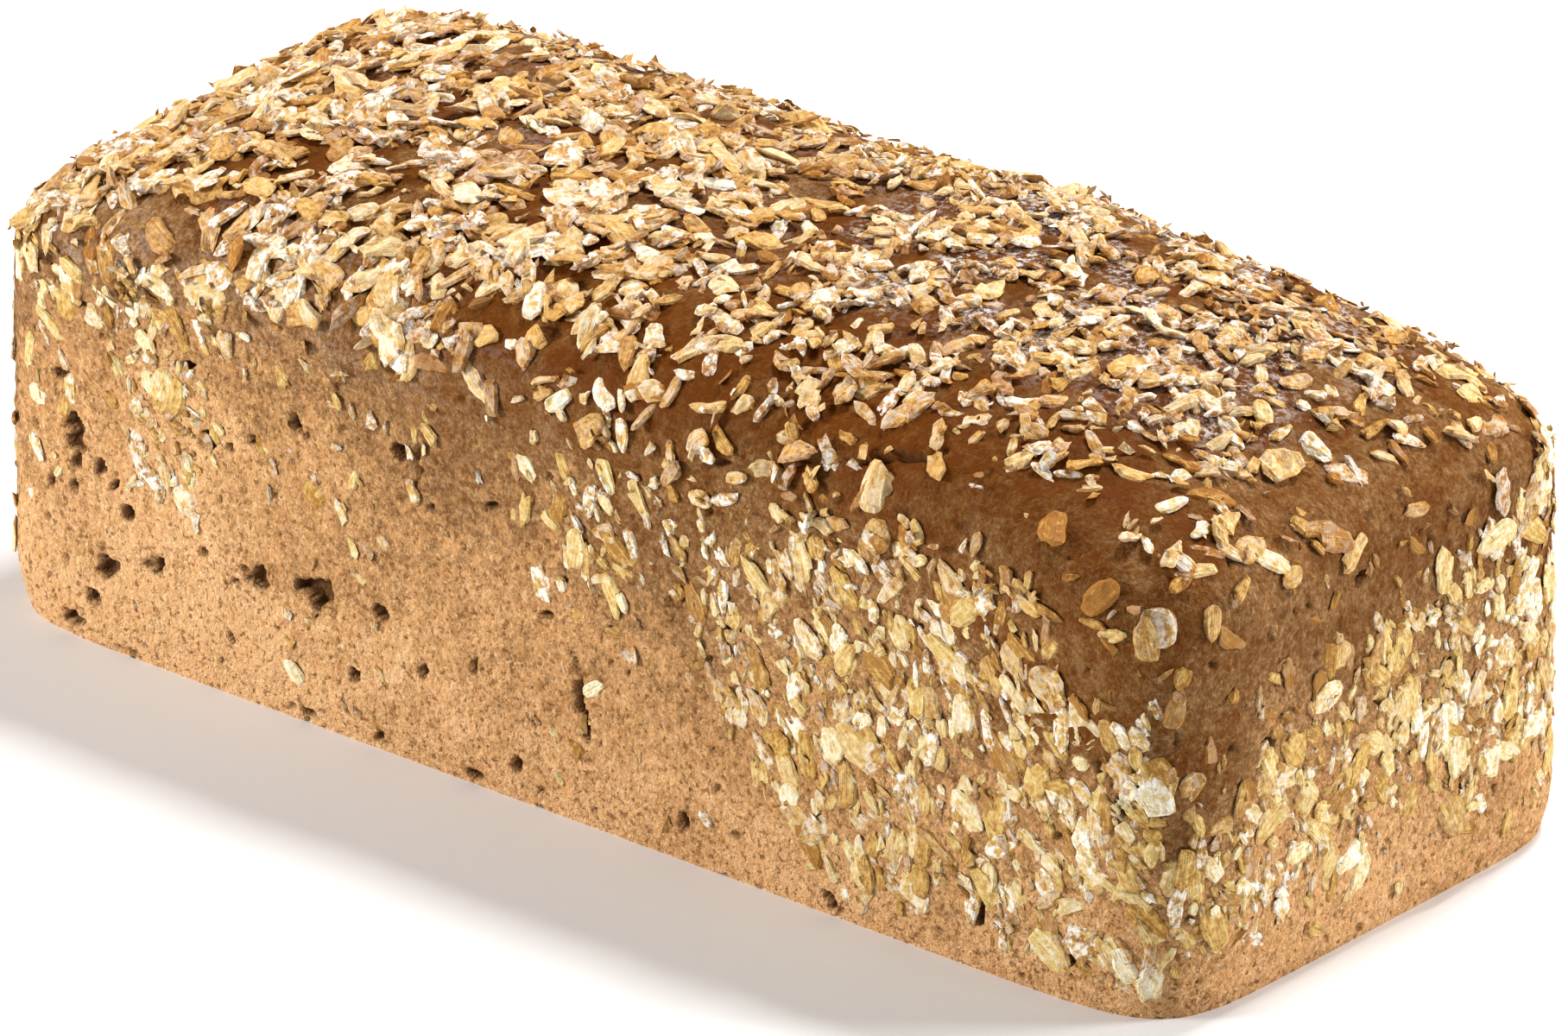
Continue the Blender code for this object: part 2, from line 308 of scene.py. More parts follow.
def along_line(right, height, line):
    """Distance from a line through a few points, as the least distance from its straight stretches."""
    nearest = np.full(right.shape, 1e9)
    for (x0, z0), (x1, z1) in zip(line, line[1:]):
        span = (x1 - x0) ** 2 + (z1 - z0) ** 2
        share = np.clip(((right - x0) * (x1 - x0) + (height - z0) * (z1 - z0)) / span, 0, 1)
        away = np.hypot(right - x0 - share * (x1 - x0), height - z0 - share * (z1 - z0))
        nearest = np.minimum(nearest, away)
    return nearest


def crown_lap(places):
    """How far a place is inside the crown's dark crust, whose ragged lower edge rises from left to right."""
    x, y, height = np.moveaxis(places, -1, 0)
    long_share = wall_places(places)[2]
    edge = 76 + 0.065 * -x * np.sign(y) * long_share
    return height - edge - layered(places, LAP_EDGE)


def relief(places):
    """How far the crust stands out from the dough's form, and how deep its holes are, in millimetres.

    Fine grain and soft lumps everywhere; on the walls, opened bubbles, torn holes and cracks; and above the
    rim, the crown's crust, which laps over the wall by its own thickness.
    """
    right, height, long_share = wall_places(places)
    on_long_wall = long_share > 0.5
    lap = fade(crown_lap(places), -0.9, 0.9)
    off_base = fade(height, 0, 3)
    lumps, wrinkles, ragged = (layered(places, layers) for layers in (LUMPS, WRINKLES, RAGGED))
    bent = places + 0.8 * np.stack([noise(places, 1.9, 9 + axis) for axis in range(3)], axis=-1)
    dimples = 0.4 * bubbles(places, *DIMPLES)
    holes = sum(bubbles(bent, *pits) for pits in PITS) * (1 - lap)
    for hole_right, hole_height, width, tall, tilt in WALL_HOLES:
        off_right, off_height = right - hole_right, height - hole_height
        off_across = (off_right * math.cos(tilt) + off_height * math.sin(tilt)) / (width / 2)
        off_along = (off_height * math.cos(tilt) - off_right * math.sin(tilt)) / (tall / 2)
        torn = fade(0.94 + 1.3 * ragged - np.hypot(off_across, off_along), 0, 0.5) * on_long_wall
        holes = np.maximum(holes, torn * (1.1 + 0.26 * min(width, tall)))
    for line in WALL_CRACKS:
        away = along_line(right + 1.8 * ragged, height + 1.4 * ragged, line)
        wide = 0.40 + 0.60 * noise(places, 3.7, 13)
        holes = np.maximum(holes, 1.0 * fade(wide - away, 0, 0.5) * on_long_wall)
    out = (lumps - dimples) * (1 - lap) + (wrinkles + 0.35) * lap
    return out * off_base - holes * fade(height, -0.5, 0.8), holes


def bake_and_shade_colour(places):
    """How dark the crust is painted, from 0 for pale tan to 1 for the crown's dark crust.

    The walls brown with height and are darker towards the right. They are darker at the corners and, on the
    ends, most at their upper left: partly browner crust and partly painted shade. The crown is darkest down
    its front right, and paler low on its left half and at its right end.
    """
    x, y, height = np.moveaxis(places, -1, 0)
    right, _, long_share = wall_places(places)
    lap = fade(crown_lap(places), -7, 6)
    # Corners and the ends' upper left: browner crust, with painted shade on top of it
    corner = fade(np.abs(y) / (1000 * HALF_WIDTH) + np.abs(x) / (1000 * HALF_LENGTH), 1.55, 1.93)
    end_top = (1 - long_share) * (0.46 + 0.54 * fade(height - 0.45 * y * np.sign(x), 14, 58))
    towards_right = long_share * fade(right, -110, 0)
    wall = 0.02 + height * (0.0052 + 0.0030 * towards_right) + 0.15 * towards_right
    wall = wall + 0.05 * fade(height, 46, 60)
    wall = wall + corner * (0.07 + 0.26 * fade(height, 20, 56)) + 0.46 * end_top
    wall = np.minimum(wall, 0.84) + layered(places, WALL_BAKE)
    crown = 0.95 + layered(places, CROWN_BAKE)
    crown = crown + 0.12 * fade(-y, 24, 44) * fade(x, 0, 40)
    crown = crown - 0.18 * (1 - fade(x, -80, 0)) * (1 - fade(height, 78, 88)) - 0.14 * fade(x, 96, 118)
    return np.clip(wall * (1 - lap) + crown * lap, 0, 1)


def evenly(low, high, step, line):
    """Values from low to high whose points on a line along the skin lie evenly, a step apart.

    The line's length is summed over many short chords, and the values are read off at equal lengths.
    """
    fine = np.linspace(low, high, 4001)
    chords = np.linalg.norm(np.diff(line(fine), axis=0), axis=-1)
    run = np.concatenate([[0], np.cumsum(chords)])
    return np.interp(np.linspace(0, run[-1], round(run[-1] / step) + 1), run, fine)


def even_rings(low, high, step, height_at):
    """Values of around, evenly spaced along the ring at a height."""
    return evenly(low, high, step, lambda around: skin(around, height_at))


def even_heights(low, high, step):
    """Values of up, evenly spaced along the profile in the middle of the front wall."""
    return evenly(low, high, step, lambda up: skin(0.5, up))


def grid_mesh(name, points, closed):
    """A mesh over a grid of points: rows go up the skin, and columns go round it, closed or not."""
    rows, columns = points.shape[:2]
    index = np.arange(rows * columns).reshape(rows, columns)
    if closed:
        index = np.concatenate([index, index[:, :1]], axis=1)
    faces = np.stack([index[:-1, :-1], index[:-1, 1:], index[1:, 1:], index[1:, :-1]], axis=-1).reshape(-1, 4)
    return quad_mesh(name, points.reshape(-1, 3), faces)


def quad_mesh(name, points, faces, smooth=True):
    """A mesh of four-sided faces, smooth or faceted, put into Blender as whole arrays."""
    mesh = bpy.data.meshes.new(name)
    mesh.vertices.add(len(points))
    mesh.vertices.foreach_set("co", np.ascontiguousarray(points, np.float32).ravel())
    mesh.loops.add(faces.size)
    mesh.loops.foreach_set("vertex_index", faces.astype(np.int32).ravel())
    mesh.polygons.add(len(faces))
    mesh.polygons.foreach_set("loop_start", np.arange(0, faces.size, 4, dtype=np.int32))
    mesh.polygons.foreach_set("use_smooth", np.full(len(faces), smooth))
    mesh.update(calc_edges=True)
    mesh.validate()
    return mesh


def paint(mesh, name, values):
    """Stores one number for each vertex, which the material reads by that name."""
    attribute = mesh.attributes.new(name, "FLOAT", "POINT")
    attribute.data.foreach_set("value", np.ascontiguousarray(values, np.float32).ravel())


def crust_piece(name, around, up, closed=False):
    """One sheet of crust: the dough's form with the relief along its normal, and its colours painted on."""
    points, out = dough(around[None, :], up[:, None])
    places = 1000 * points
    lift, holes = relief(places)
    mesh = grid_mesh(name, points + out * (lift / 1000)[..., None], closed)
    # How brown each place is, with painted shade at the corners and the ends' upper left
    paint(mesh, "bake", bake_and_shade_colour(places))
    # The holes' depth, by which the material paints shade into them
    paint(mesh, "hole", np.clip(holes / 1.1, 0, 1))
    paint(mesh, "flour", flour_dust(places))
    return placed(name, mesh)


def flour_dust(places):
    """How much flour lies on a place, in patches: most on top at the right, and a veil low on the left."""
    x, y, z = np.moveaxis(places, -1, 0)
    ridge = fade(y, -30, -6) * fade(z, 80, 88) * (0.12 + 0.88 * fade(x, 0, 50) * (1 - fade(x, 108, 124)))
    veil = 0.15 * fade(z, 62, 72) * (1 - fade(z, 82, 88)) * (1 - fade(x, -40, 20))
    return np.clip((ridge + veil) * (0.5 + 1.2 * noise(places, 7, 24)), 0, 1)


# The wall sheets meet in the bends of the corners, this far along the caps
CORNER_AROUND = 0.205
long_wall = even_rings(0 - CORNER_AROUND, 1 + CORNER_AROUND, GRID_STEP, 0.5)
end_wall = even_rings(1 + CORNER_AROUND, 2 - CORNER_AROUND, GRID_STEP, 0.5)
wall_up = even_heights(0, 1, GRID_STEP)
crown_around = even_rings(0, 4, CROWN_STEP * 1.25, 1.4)[:-1]
crown_up = even_heights(1, 2, CROWN_STEP * 0.8)
base_around = even_rings(0, 4, BASE_STEP, 0)[:-1]
base_up = even_heights(-1, 0, BASE_STEP)
crust_pieces = [
    crust_piece("front_wall_crust", long_wall, wall_up),
    crust_piece("right_end_crust", end_wall, wall_up),
    crust_piece("back_wall_crust", long_wall + 2, wall_up),
    crust_piece("left_end_crust", end_wall + 2, wall_up),
    crust_piece("crown_crust", crown_around, crown_up, closed=True),
    crust_piece("base_crust", base_around, base_up, closed=True),
]


class Wire:
    """One socket in a material: arithmetic on it adds Math nodes, and node() adds any other node."""

    def __init__(self, tree, socket=None):
        self.tree = tree
        self.socket = socket

    def node(self, kind, settings=None, sockets=None, output=0):
        """Adds a node, applies its settings and then its sockets' values or links, and wraps one output."""
        added = self.tree.nodes.new(kind)
        for key, value in (settings or {}).items():
            if key == "stops":
                ramp = added.color_ramp
                while len(ramp.elements) < len(value):
                    ramp.elements.new(0.5)
                for element, (position, colour) in zip(ramp.elements, value):
                    element.position = position
                    element.color = (*colour, 1)
            else:
                setattr(added, key, value)
        for key, value in (sockets or {}).items():
            if isinstance(value, Wire):
                self.tree.links.new(value.socket, added.inputs[key])
            else:
                added.inputs[key].default_value = value
        return Wire(self.tree, added.outputs[output])

    def math(self, operation, *values):
        """Adds a Math node on these values."""
        return self.node("ShaderNodeMath", {"operation": operation}, dict(enumerate(values)))

    def __add__(self, other):
        return self.math("ADD", self, other)

    __radd__ = __add__

    def __sub__(self, other):
        return self.math("SUBTRACT", self, other)

    def __rsub__(self, other):
        return self.math("SUBTRACT", other, self)

    def __mul__(self, other):
        return self.math("MULTIPLY", self, other)

    __rmul__ = __mul__

    def between(self, low, high):
        """0 where this value is at low, 1 where it is at high, and a smooth ramp between."""
        sockets = {"Value": self, "From Min": low, "From Max": high}
        return self.node("ShaderNodeMapRange", {"interpolation_type": "SMOOTHSTEP"}, sockets)

    def blend(self, colour, other):
        """The first colour where this value is 0, and the other where it is 1."""
        settings = {"data_type": "RGBA", "clamp_factor": True}
        return self.node("ShaderNodeMix", settings, {0: self, 6: colour, 7: other}, output=2)

    def speckle(self, size, detail, roughness):
        """Noise from about 0.3 to 0.7 at the object's own coordinates, with grains of that size in metres."""
        place = self.node("ShaderNodeTexCoord", output=3)
        sockets = {"Vector": place, "Scale": 1 / size, "Detail": detail, "Roughness": roughness}
        return self.node("ShaderNodeTexNoise", None, sockets)

    def painted(self, name):
        """A number painted on the mesh."""
        return self.node("ShaderNodeAttribute", {"attribute_name": name}, output=2)


def new_material(name):
    """An empty material with one shader, and the Wire that its nodes start from."""
    material = bpy.data.materials.new(name)
    material.use_nodes = True
    shader = material.node_tree.nodes["Principled BSDF"]
    return material, shader, Wire(material.node_tree)


def feed(wire, shader, socket):
    """Links a wire to one of the shader's sockets."""
    wire.tree.links.new(wire.socket, shader.inputs[socket])


# Baked crust from the palest wall to the crown, then what is in it and what lies on it
CRUST_TAN = (0.64, 0.362, 0.165)
CRUST_WARM = (0.66, 0.32, 0.115)
CRUST_BUFF = (0.42, 0.214, 0.080)
CRUST_BROWN = (0.200, 0.098, 0.036)
CRUST_UMBER = (0.145, 0.055, 0.011)
CRUST_DARK = (0.112, 0.030, 0.003)
GRAIN_CREAM = (0.86, 0.61, 0.35)
BRAN_BROWN = (0.13, 0.047, 0.013)
# Painted shade in the holes, darkest where they are deepest
HOLE_SHADE_BROWN = (0.060, 0.021, 0.006)
FLOUR_WHITE = (0.84, 0.81, 0.76)


def crust_material():
    """Tan to dark brown by browning and painted shade, with cream grain, bran specks, flour and painted shade
    in holes.
    """
    material, shader, start = new_material("baked_crust")
    baked_and_shaded = start.painted("bake")
    fine = start.speckle(0.0008, 2, 0.7)
    grain = start.speckle(0.0022, 2, 0.6)
    patches = start.speckle(0.017, 3, 0.6)
    uneven = (patches - 0.5) * 0.30 + (grain - 0.5) * 0.85 + (fine - 0.5) * 0.8
    bake = baked_and_shaded + uneven * (1.1 - baked_and_shaded * 0.4)
    stops = ((0.08, CRUST_TAN), (0.40, CRUST_BUFF), (0.68, CRUST_BROWN), (0.85, CRUST_UMBER), (1, CRUST_DARK))
    colour = start.node("ShaderNodeValToRGB", {"stops": stops}, {"Fac": bake})
    pale = (1 - baked_and_shaded) * (1 - baked_and_shaded * 0.3)
    warm = start.speckle(0.0045, 3, 0.65).between(0.50, 0.66)
    colour = (warm * pale * 0.45).blend(colour, (*CRUST_WARM, 1))
    cream = start.speckle(0.0009, 4, 0.8).between(0.50, 0.66)
    colour = (cream * pale * 0.8).blend(colour, (*GRAIN_CREAM, 1))
    bran = start.speckle(0.0012, 2, 0.6).between(0.44, 0.34)
    colour = (bran * 0.70).blend(colour, (*BRAN_BROWN, 1))
    flour = start.painted("flour") * start.speckle(0.0014, 3, 0.75).between(0.46, 0.62)
    colour = (flour * 0.70).blend(colour, (*FLOUR_WHITE, 1))
    # Painted shade in the holes, the deeper the darker
    colour = (start.painted("hole") * 0.9).blend(colour, (*HOLE_SHADE_BROWN, 1))
    feed(colour, shader, "Base Color")
    feed(0.86 - baked_and_shaded * 0.30 + flour * 0.2, shader, "Roughness")
    height = (fine * 0.8 + grain * 0.5 + start.speckle(0.0006, 2, 0.6) * 0.4) * (1 - baked_and_shaded * 0.55)
    sockets = {"Strength": 0.9, "Distance": 0.0010, "Height": height}
    feed(start.node("ShaderNodeBump", None, sockets), shader, "Normal")
    shader.inputs["Specular IOR Level"].default_value = 0.03
    return material


baked_crust = crust_material()
for piece in crust_pieces:
    piece.data.materials.append(baked_crust)
    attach(piece, "root")
    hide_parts("loaf")


# The flakes: rolled grains of four cereals, stuck to the proved dough before it went into the oven.
# They heap up loosely on the crown, and the tin presses them flat into the walls in slanting bands.
# Each kind of grain is one mesh of many small pillows with a crease, ragged rims and broken ends.
FLAKE_SEED = 41
FLAKE_TRIES = 60000
FLAKE_COUNT = 240
FLAKE_ZONE = (0.05, 1.992)
FLAKE_SPACING = 0.0088
# Length and thickness in metres, width as a share of the length, lift as one of the thickness, and degrees
FLAKE_LENGTH = (0.0062, 0.0096)
FLAKE_SLENDER = (0.46, 0.66)
FLAKE_THICK = 0.0019
FLAKE_LIFT = (0.02, 0.20)
FLAKE_TIP = (4, 11)
FLAKE_SLANT = 103
FLAKE_SLANT_SPREAD = 35
# The solid flakes are shown thinner than the solids, and those on the crown stand a little higher
WALL_THICK = 0.0008
CROWN_THICK = 0.0014
CROWN_RAISE = 0.0005
# Millimetres that solid flakes keep from the larger holes, the first of the table, and from the base edge
HOLE_MARGIN = 8
EDGE_MARGIN = 6
SOLID_HOLES = 12
# Soft patches of flakes or bare crust, with their middles and reaches in millimetres: those of a long wall
# to the right and up, and those of the crown along X and Y
LEFT_CLUSTER = ((-86, 47), (8, 13))
CLUSTER_HEART = ((-85, 47), (8, 12))
MIDDLE_CLUSTER = ((9, 53), (9, 9))
BARE_SHOULDER = ((-78, -51), (15, 7))
BARE_END = ((-123, -15), (9, 14))
# The smaller flakes: how many, the least distance between two, and the part of the skin that they lie on
SMALL_TRIES = 120000
CROWN_FLAKES = {"count": 1720, "spacing": 0.0021, "seed": 61, "zone": (0.9, 1.996)}
WALL_FLAKES = {"count": 1750, "spacing": 0.0021, "seed": 71, "zone": (0.03, 1.4)}
# On the crown, each lies higher for every earlier one in its reach
HEAP_REACH = 0.0034
HEAP_RISE = 0.00040
HEAP_MOST = 0.0011


def patch(first, second, middle, reach):
    """A soft patch: 1 in its middle, and falling off to all sides as a bell does."""
    return np.exp(-(((first - middle[0]) / reach[0]) ** 2) - ((second - middle[1]) / reach[1]) ** 2)


def flake_cover(places):
    """The share of the crust that flakes cover.

    A long wall has a ragged band towards its right, two clusters, and a fringe at its top, most at the left.
    An end has a slanting band. The crown is covered, thinly at its right front, right end and one shoulder.
    """
    x, y, z = np.moveaxis(places, -1, 0)
    right = -x * np.sign(y)
    band_start = 25 + 0.0118 * np.clip(60 - z, 0, 60) ** 2
    band = fade(right, band_start - 4, band_start + 8) * fade(z, 1, 9)
    band = band * (1 - 0.45 * fade(z, 56, 66)) * (1 - 0.7 * fade(right, 86, 100) * fade(z, 44, 56))
    clusters = patch(right, z, *LEFT_CLUSTER) + 0.8 * patch(right, z, *MIDDLE_CLUSTER)
    upper_edge = fade(z, 57, 67) * (0.3 + 0.5 * (1 - fade(right, -72, -54)))
    long_wall = np.maximum(np.maximum(0.8 * band, 0.85 * clusters), upper_edge)
    right_on_end = y * np.sign(x)
    off_band = np.abs(z - 36 - 0.22 * right_on_end) - 18 - 0.12 * right_on_end
    end_wall = 0.85 * (1 - fade(off_band, -5, 6)) + 0.10
    wall = np.where(wall_places(places)[2] >= 0.5, long_wall, end_wall)
    dome = fade(z, 70, 83)
    thin_front = 0.55 * fade(right, -10, 35) * fade(np.abs(y), 8, 24)
    thin_end = 0.6 * fade(x, 104, 120)
    bare_shoulder = 0.8 * patch(x, y, *BARE_SHOULDER)
    return np.maximum(wall * (1 - dome), dome * (1 - thin_front) * (1 - thin_end) * (1 - bare_shoulder))


def open_crust(places, margin):
    """True where a flake keeps clear of the base edge, and of the larger holes by a margin."""
    right = -places[..., 0] * np.sign(places[..., 1])
    height = places[..., 2]
    clear = height > EDGE_MARGIN
    for hole_right, hole_height, _, tall, _ in WALL_HOLES[:SOLID_HOLES]:
        away = np.hypot(right - hole_right, height - hole_height)
        clear &= (np.abs(places[..., 1]) < 800 * HALF_WIDTH) | (away > margin + tall / 4)
    return clear


def spread(tries, count, spacing, seed, cover, margin=HOLE_MARGIN, zone=FLAKE_ZONE):
    """Places for flakes: points drawn with a seed, each kept by chance, and only if no kept one is near.

    The chance is the cover at the point, times how much skin a step round and up spans there.
    """
    draw = np.random.default_rng(seed)
    around = draw.uniform(0, 4, tries)
    up = draw.uniform(*zone, tries)
    points, _ = dough(around, up)
    share = np.linalg.norm(slopes_crossed(around, up), axis=-1)
    chance = cover(1000 * points) * open_crust(1000 * points, margin) * share / share.max()
    kept = np.zeros(count, int)
    found = 0
    for place in np.flatnonzero(draw.random(tries) < chance):
        if found == count:
            break
        if np.all(np.linalg.norm(points[kept[:found]] - points[place], axis=-1) > spacing):
            kept[found] = place
            found += 1
    return around[kept[:found]], up[kept[:found]]


def heaped(points, reach, rise, most):
    """How high each flake is heaped: by a rise for every flake laid before it in its reach, up to a most.

    The distances are worked out for a batch of flakes at a time, to spare memory.
    """
    batch = 500
    lift = np.zeros(len(points))
    for start in range(0, len(points), batch):
        rows = slice(start, start + batch)
        away = np.linalg.norm(points[rows, None] - points[None], axis=-1)
        earlier = np.arange(len(points))[None] < np.arange(len(points))[rows, None]
        lift[rows] = rise * np.sum((away < reach) & earlier, axis=1)
    return np.minimum(lift, most)


def flake_grid(rows, columns):
    """A closed pillow over a square grid: along and across from -1 to 1, which side, and its faces.

    The top and bottom share their rim, so the shape has no open edge.
    """
    along, across = (np.linspace(-1, 1, steps + 1) for steps in (rows, columns))
    along, across = (np.sign(line) * np.abs(line) ** 0.5 for line in (along, across))
    along, across = np.meshgrid(along, across, indexing="ij")
    rim = (np.abs(along) == 1) | (np.abs(across) == 1)
    top = np.arange(along.size).reshape(along.shape)
    bottom = top.copy()
    bottom[1:-1, 1:-1] = along.size + np.arange((rows - 1) * (columns - 1)).reshape(rows - 1, columns - 1)
    inner = ~rim
    side = np.concatenate([np.where(rim, 0, 1).ravel(), np.full(inner.sum(), -1)])
    along, across = (np.concatenate([values.ravel(), values[inner]]) for values in (along, across))
    up_faces = [top[:-1, :-1], top[1:, :-1], top[1:, 1:], top[:-1, 1:]]
    down_faces = [bottom[:-1, :-1], bottom[:-1, 1:], bottom[1:, 1:], bottom[1:, :-1]]
    faces = np.concatenate([np.stack(four, axis=-1).reshape(-1, 4) for four in (up_faces, down_faces)])
    return along, across, side, faces


def turned_about(points, angle, first, second):
    """Points turned by one angle for each flake, in the plane of two axes."""
    cosine, sine = np.cos(angle)[:, None], np.sin(angle)[:, None]
    turned = points.copy()
    turned[..., first] = cosine * points[..., first] - sine * points[..., second]
    turned[..., second] = sine * points[..., first] + cosine * points[..., second]
    return turned


def flake_outline(along, across, count, shape, draw):
    """Each flake's outline: a square grid pressed into a disc, whose rim is then pushed in and out.

    The rim's distance from the middle is 1 plus three soft waves, cut short where the grain split straight
    across at up to two sides, and frayed at random.
    """
    long, wide = along * np.sqrt(1 - across**2 / 2), across * np.sqrt(1 - along**2 / 2)
    way, ring = np.arctan2(wide, long), np.hypot(long, wide)
    reach = np.ones((count, len(along)))
    for waves in (2, 3, 5):
        size = draw.normal(0, shape["uneven"], (count, 1))
        start = draw.uniform(0, 2 * math.pi, (count, 1))
        reach = reach + size * np.cos(waves * way + start)
    for _ in range(2):
        facing = np.cos(way - draw.uniform(0, 2 * math.pi, (count, 1)))
        reach = np.minimum(reach, draw.uniform(*shape["split"], (count, 1)) / np.maximum(facing, 0.05))
    reach = reach * (1 + shape["frayed"] * draw.uniform(-1, 1, reach.shape) * ring**2)
    return long * reach, wide * reach, ring


def flake_mesh(name, laid, shape, seed):
    """All flakes of one kind. laid holds their places and sizes, and shape says how they break and curl.

    The outline is stretched to the flake's length and width and pinched towards one end. Its thickness falls
    off to the rim, less a crease down the middle, with lumps at random. The whole is curled like a saddle
    with a ripple across it, then turned, tipped and laid on the crust.
    """
    along, across, side, faces = flake_grid(*shape["grid"])
    count = len(laid["length"])
    draw = np.random.default_rng(seed)
    long, wide, ring = flake_outline(along, across, count, shape, draw)
    pinch = draw.uniform(-1, 1, (count, 1)) * shape["pinch"]
    body = (1 - 0.35 * ring**2) * (1 + 0.28 * draw.uniform(-1, 1, long.shape))
    crease = shape["crease"] * np.exp(-((wide / 0.22) ** 2)) * np.clip(1 - long**2, 0, 1) * (side > 0)
    curl_long, curl_wide, twist, ripple = draw.normal(0, shape["curl"], (4, count, 1))
    half_length, half_width = laid["length"][:, None] / 2, laid["width"][:, None] / 2
    saddle = curl_long * long**2 + (curl_wide - 0.5 * shape["curl"]) * wide**2 + twist * long * wide
    wave = 0.6 * ripple * np.sin(4 * long + 3 * wide + draw.uniform(0, 2 * math.pi, (count, 1)))
    bow = laid["bend"][:, None] * half_width * (saddle + wave)
    points = np.stack(
        [
            half_length * long,
            half_width * wide * (1 + pinch * long),
            laid["thick"][:, None] / 2 * (side * body - crease) + bow,
        ],
        axis=-1,
    )
    points = turned_about(points, laid["roll"], 1, 2)
    points = turned_about(points, laid["tip"], 2, 0)
    points = turned_about(points, laid["spin"], 0, 1)
    out = laid["out"]
    level_way = unit(np.cross((0.0, 0.0, 1.0), out))
    axes = np.stack([level_way, np.cross(out, level_way), out], axis=1)
    points = laid["point"][:, None] + (points + [0, 0, 1] * laid["lift"][:, None, None]) @ axes
    offsets = np.arange(count)[:, None, None] * len(along)
    mesh = quad_mesh(name, points.reshape(-1, 3), (faces[None] + offsets).reshape(-1, 4), smooth=False)
    # Flakes on the brown, shaded walls get painted shade: a lower tone and less flour
    painted_shade = brown_and_shaded_place(1000 * laid["point"])
    paint(mesh, "tone", np.repeat(draw.random(count) - 0.6 * painted_shade, len(along)))
    paint(mesh, "floury", np.repeat(laid["floury"] * (1 - 0.6 * painted_shade), len(along)))
    paint(mesh, "toasted", np.repeat(fade(1000 * laid["point"][:, 2], 62, 82), len(along)))
    bran = np.clip(ring**4 + 0.6 * np.exp(-((across / 0.25) ** 2)) * (side > 0), 0, 1)
    paint(mesh, "bran", np.tile(bran, (count, 1)))
    layer = mesh.uv_layers.new(name="flake")
    own = np.stack([np.tile(along, count), np.tile(across, count)], axis=-1) * 0.5 + 0.5
    layer.data.foreach_set("uv", own[(faces[None] + offsets).reshape(-1)].astype(np.float32).ravel())
    return placed(name, mesh)


def laid_on(around, up, length, slender, **rest):
    """Flakes laid at those places, with one of each value for every flake.

    The rest is how thick, lifted, spun, tipped, rolled and floury they are, and how far they bend.
    """
    point, out = dough(around, up)
    return {"point": point, "out": out, "length": length, "width": length * slender, **rest}


def spins(draw, up):
    """How flakes are turned on the crust: about the walls' common slant, and any way on the crown."""
    slanting = np.radians(draw.normal(FLAKE_SLANT, FLAKE_SLANT_SPREAD, len(up)))
    return np.where(up < 1, slanting, draw.uniform(0, 2 * math.pi, len(up)))


def loose_turns(draw, up, usual):
    """The turns of the smaller flakes: each spun, and tipped and rolled at random about a usual angle."""
    count = len(up)
    spin = spins(draw, up)
    return {"spin": spin, "tip": usual * draw.normal(0, 1, count), "roll": usual * draw.normal(0, 1, count)}


def solid_flakes():
    """The largest flakes, which are also solid in the part, at the same places and sizes."""
    around, up = spread(FLAKE_TRIES, FLAKE_COUNT, FLAKE_SPACING, FLAKE_SEED, flake_cover)
    draw = np.random.default_rng(FLAKE_SEED + 1)
    count = len(around)
    on_crown = up > 1
    length = np.sort(draw.uniform(*FLAKE_LENGTH, count))[::-1]
    slender = draw.uniform(*FLAKE_SLENDER, count)
    spin = spins(draw, up)
    wall_tip, crown_tip = np.radians(FLAKE_TIP)
    tip = draw.normal(0, 1, count) * np.where(up < 1, wall_tip, crown_tip)
    lift = draw.uniform(*FLAKE_LIFT, count) * FLAKE_THICK
    return laid_on(
        around, up, length, slender,
        thick=np.where(on_crown, CROWN_THICK, WALL_THICK),
        lift=lift + np.where(on_crown, CROWN_RAISE, 0),
        spin=spin, tip=tip, roll=0.5 * tip,
        bend=np.where(on_crown, 1.0, 0.3),
        floury=0.5 * draw.random(count) ** 2,
    )


def floury_share(draw, count, white):
    """How floury each flake is: that share is white all over, and most have a little flour."""
    return np.where(draw.random(count) < white, 1.0, 0.7 * draw.random(count) ** 2)


def crown_cover(places):
    """How thickly flakes lie on the crown: in clumps, and ever fewer down the front and at the right end.

    Two places are nearly bare: the left shoulder, and a patch of the left end's upper edge.
    """
    x, y, z = np.moveaxis(places, -1, 0)
    right_third = fade(x, 20, 90)
    bare = (0.34 + 0.18 * right_third) * fade(-y, 4, 40) + (0.18 + 0.22 * right_third) * fade(-y, 38, 48)
    bare = np.maximum((bare + 0.13 * fade(x, -20, 40)) * fade(x, -114, -98), 0.88 * fade(x, 102, 117))
    bare = np.maximum(bare, 0.92 * fade(x, -108, -98) * (1 - fade(x, -76, -64)) * fade(-y, 36, 46))
    bare = np.maximum(bare, 0.9 * patch(x, y, *BARE_END))
    clumps = 0.14 + 0.9 * fade(noise(places, 7, 35), -0.32, 0.12)
    return np.clip(fade(z, 70, 79) * (1 - bare) * clumps, 0, 1)


